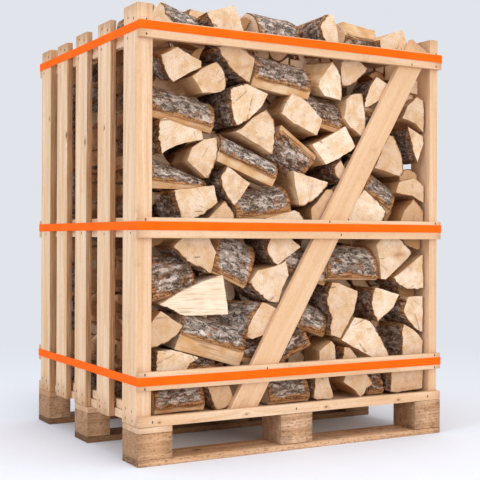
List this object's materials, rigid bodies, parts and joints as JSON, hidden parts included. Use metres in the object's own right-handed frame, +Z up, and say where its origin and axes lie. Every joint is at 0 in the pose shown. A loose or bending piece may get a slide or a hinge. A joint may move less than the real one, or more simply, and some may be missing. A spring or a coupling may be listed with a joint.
{
  "type": "crate of split firewood on a pallet",
  "caption": "Slatted pine crate on a block pallet, filled and heaped with split firewood and held by flat orange straps.",
  "frame": {"origin": "on the ground under the middle of the crate's box", "axes": "+Z up, -Y out of the braced front, +X to the right as seen from the front"},
  "size_m": [1.003, 0.793, 1.262],
  "materials": {
    "sawn_pine": "rough sawn, unfinished",
    "pallet_wood": "rough sawn, dusty from the ground",
    "firewood": "split and sawn faces with rough grey-brown bark",
    "strap": "smooth extruded strapping with a slight sheen",
    "nail_steel": "dull bright-wire nail heads"
  },
  "bodies": {
    "root": {"block_back_centre": "pallet_wood", "block_back_left": "pallet_wood", "block_back_right": "pallet_wood", "block_front_centre": "pallet_wood", "block_front_left": "pallet_wood", "block_front_right": "pallet_wood", "block_middle_centre": "pallet_wood", "block_middle_left": "pallet_wood", "block_middle_right": "pallet_wood", "bottom_board_back": "pallet_wood", "bottom_board_front": "pallet_wood", "bottom_board_middle": "pallet_wood", "brace_back": "sawn_pine", "brace_front": "sawn_pine", "corner_post_back_left": "sawn_pine", "corner_post_back_right": "sawn_pine", "corner_post_front_left": "sawn_pine", "corner_post_front_right": "sawn_pine", "edge_board_back": "sawn_pine", "edge_board_front": "sawn_pine", "floor_panel": "sawn_pine", "kick_board_left": "sawn_pine", "kick_board_right": "sawn_pine", "logs_back": "firewood", "logs_front": "firewood", "logs_middle": "firewood", "packer_back": "sawn_pine", "packer_front": "sawn_pine", "packer_middle": "sawn_pine", "rail_bottom_back": "sawn_pine", "rail_bottom_front": "sawn_pine", "rail_middle_back": "sawn_pine", "rail_middle_front": "sawn_pine", "rail_top_back": "sawn_pine", "rail_top_front": "sawn_pine", "side_batten_left": "sawn_pine", "side_batten_right": "sawn_pine", "side_rail_middle_left": "sawn_pine", "side_rail_middle_right": "sawn_pine", "side_rail_top_left": "sawn_pine", "side_rail_top_right": "sawn_pine", "slat_left_1": "sawn_pine", "slat_left_2": "sawn_pine", "slat_left_3": "sawn_pine", "slat_right_1": "sawn_pine", "slat_right_2": "sawn_pine", "slat_right_3": "sawn_pine", "strap_bottom": "strap", "strap_middle": "strap", "strap_top": "strap"}
  },
  "joints": []
}
